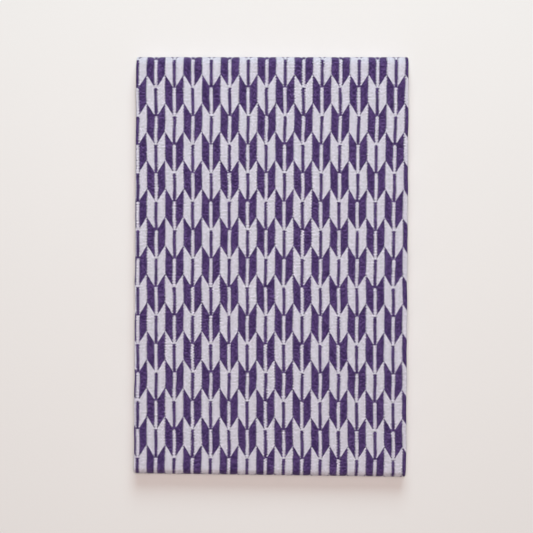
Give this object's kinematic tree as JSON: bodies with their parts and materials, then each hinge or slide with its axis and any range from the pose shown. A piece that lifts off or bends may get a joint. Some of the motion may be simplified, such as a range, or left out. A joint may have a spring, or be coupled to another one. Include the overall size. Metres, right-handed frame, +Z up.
{
  "type": "folded tenugui towel",
  "caption": "Flat rectangular cotton hand towel with an arrow-feather print, its sides folded to the middle and its length rolled flat into a thin stack; it lies on a surface.",
  "frame": {"origin": "middle of the flat underside's bounding box, on the surface that the towel lies on", "axes": "+Z up out of the surface, +Y along the folded towel's long side towards the end where the print's feathers start, +X across its width"},
  "size_m": [0.1186, 0.183, 0.0084],
  "materials": {
    "printed_cotton": "plain-weave cotton, matte, deep violet arrow-feather print on white; the colour given is the mix seen from a step away"
  },
  "bodies": {
    "root": {"folded_towel": "printed_cotton"}
  },
  "joints": []
}
